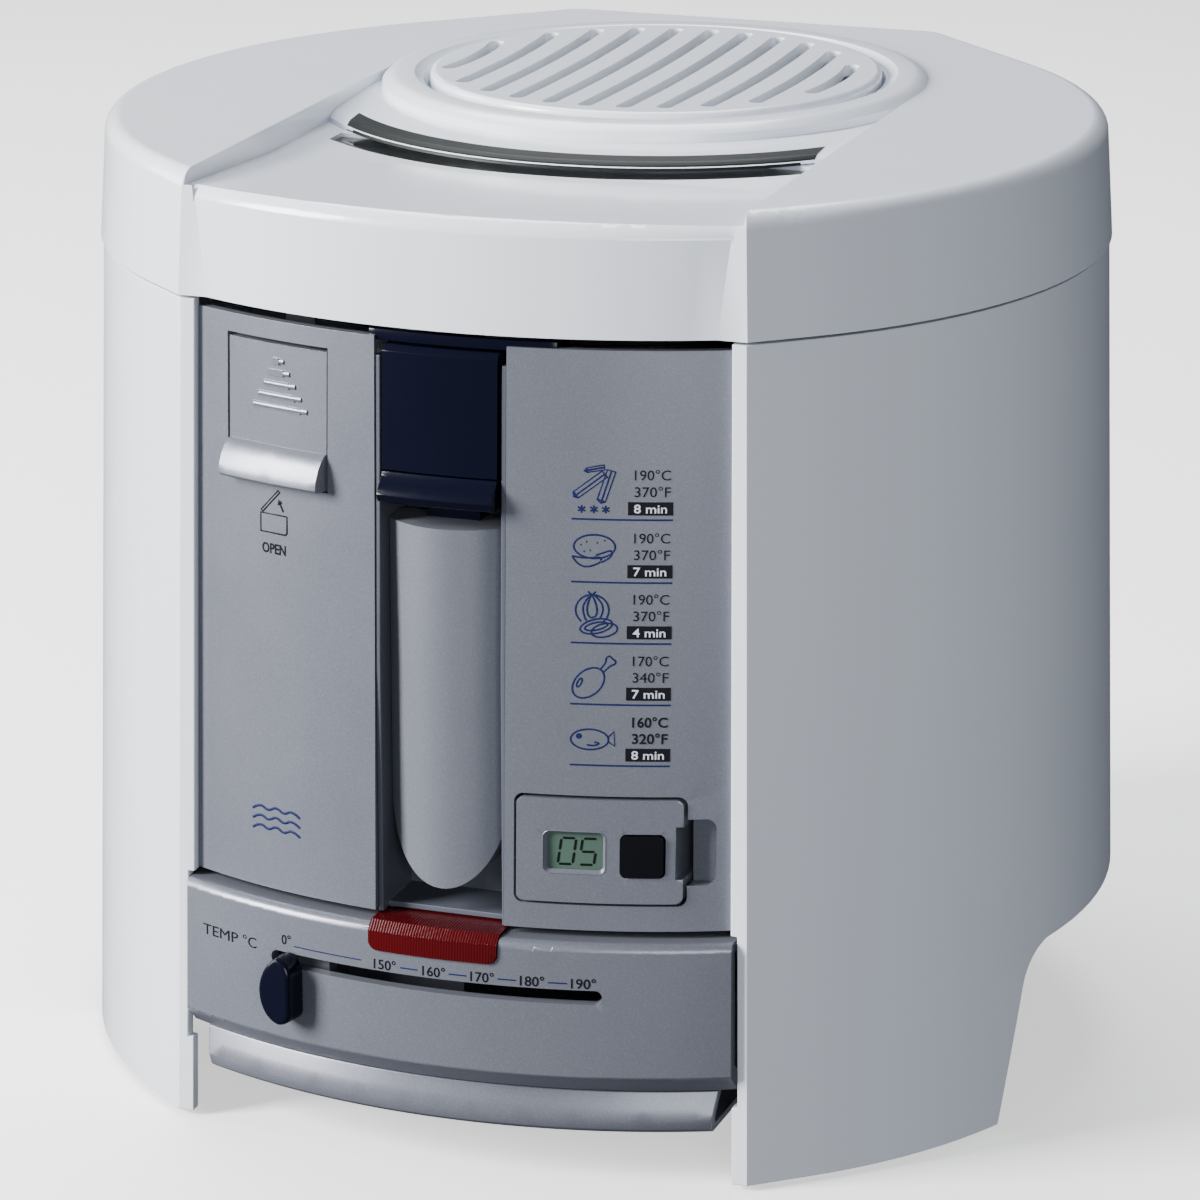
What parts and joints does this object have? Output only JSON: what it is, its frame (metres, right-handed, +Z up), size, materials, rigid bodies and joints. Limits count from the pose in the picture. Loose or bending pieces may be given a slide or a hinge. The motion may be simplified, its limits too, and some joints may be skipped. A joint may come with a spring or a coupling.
{
  "type": "deep fryer",
  "caption": "Round countertop deep fryer with hinged vented lid, viewing window, folding front handle that lifts the basket, sliding thermostat knob and pull-out timer.",
  "frame": {"origin": "centre of the footprint, on the surface that the fryer stands on", "axes": "+Z up, -Y out of the bowed control front, +X to the right when the control front is looked at"},
  "size_m": [0.2802, 0.278, 0.2576],
  "materials": {
    "white_shell": "glossy",
    "silver_panel": "satin metallic",
    "navy_plastic": "satin",
    "dark_plastic": "matte",
    "red_lens": "glossy translucent",
    "lamp_glass": "clear",
    "black_button": "satin",
    "display": "glossy",
    "steel": "brushed",
    "basket_wire": "polished",
    "nonstick": "satin non-stick coating",
    "rubber": "matte",
    "filter_felt": "felt",
    "window": "clear"
  },
  "bodies": {
    "fryer": {"outer_housing": "white_shell", "base_tray": "white_shell", "rubber_feet": "rubber", "base_screws": "steel", "cord_gland": "dark_plastic", "terminal_block": "dark_plastic", "left_panel": "silver_panel", "right_panel": "silver_panel", "control_panel": "silver_panel", "indicator_lens": "red_lens", "indicator_lamp": "lamp_glass", "lower_trim": "silver_panel", "handle_channel": "dark_plastic", "handle_axle": "steel", "idler_axle": "steel", "deck_ring": "white_shell", "bowl": "nonstick", "heating_element": "steel", "heat_shield": "steel", "thermal_cutout": "steel", "thermostat": "dark_plastic", "button_pin": "steel", "button_spring": "steel", "hinge_bracket": "white_shell", "hinge_pin": "steel"},
    "lid": {"lid_shell": "white_shell", "lid_liner": "steel", "lid_gasket": "rubber", "window_glass": "window", "filter_cartridge": "filter_felt", "lid_keeper": "dark_plastic"},
    "filter_cover": {"filter_cover": "white_shell"},
    "handle": {"handle_block": "navy_plastic", "handle_grip": "silver_panel"},
    "lock_slider": {"handle_slider": "navy_plastic"},
    "idler": {"idler_gear": "dark_plastic"},
    "basket_lift": {"lift_rack": "dark_plastic", "basket_hanger": "basket_wire", "basket": "basket_wire", "basket_rim": "basket_wire"},
    "temperature_slider": {"temperature_knob": "navy_plastic", "slider_carriage": "dark_plastic"},
    "release_button": {"release_button": "silver_panel"},
    "timer": {"timer_case": "silver_panel", "timer_display": "display", "timer_battery": "steel"},
    "timer_button": {"timer_button": "black_button"}
  },
  "joints": [
    {"name": "lid_hinge", "type": "hinge", "parent": "fryer", "child": "lid", "pos_m": [0, 0.126, 0.228], "axis": [-1, 0, 0], "range_deg": [0, 68]},
    {"name": "filter_cover_lift", "type": "slide", "parent": "lid", "child": "filter_cover", "axis": [0, 0, 1], "range_m": [0, 0.015]},
    {"name": "handle_fold", "type": "hinge", "parent": "fryer", "child": "handle", "pos_m": [0, -0.12, 0.207], "axis": [-1, 0, 0], "range_deg": [0, 90]},
    {"name": "lock_slide", "type": "slide", "parent": "handle", "child": "lock_slider", "axis": [0, 0, -1], "range_m": [0, 0.003], "stiffness_N_per_m": 300},
    {"name": "idler_spin", "type": "hinge", "parent": "fryer", "child": "idler", "pos_m": [0, -0.09675, 0.207], "axis": [1, 0, 0], "range_deg": [0, 309]},
    {"name": "basket_lift", "type": "slide", "parent": "fryer", "child": "basket_lift", "axis": [0, 0, 1], "range_m": [0, 0.0283]},
    {"name": "temperature_slide", "type": "hinge", "parent": "fryer", "child": "temperature_slider", "pos_m": [0, 0.041, 0.053], "axis": [0, 0, 1], "range_deg": [0, 25.8]},
    {"name": "release_press", "type": "hinge", "parent": "fryer", "child": "release_button", "pos_m": [-0.04545, -0.11666, 0.2122], "axis": [-0.9603, 0.279, 0], "range_deg": [0, 12], "stiffness_Nm_per_rad": 0.1},
    {"name": "timer_pull", "type": "slide", "parent": "fryer", "child": "timer", "axis": [0, -1, 0], "range_m": [0, 0.022]},
    {"name": "timer_press", "type": "slide", "parent": "timer", "child": "timer_button", "axis": [0, 1, 0], "range_m": [0, 0.0012], "stiffness_N_per_m": 300}
  ],
  "couplings": [
    {"joint": "idler_spin", "follows": "handle_fold", "ratio": 3.4286},
    {"joint": "basket_lift", "follows": "handle_fold", "m_per_rad": 0.018}
  ]
}
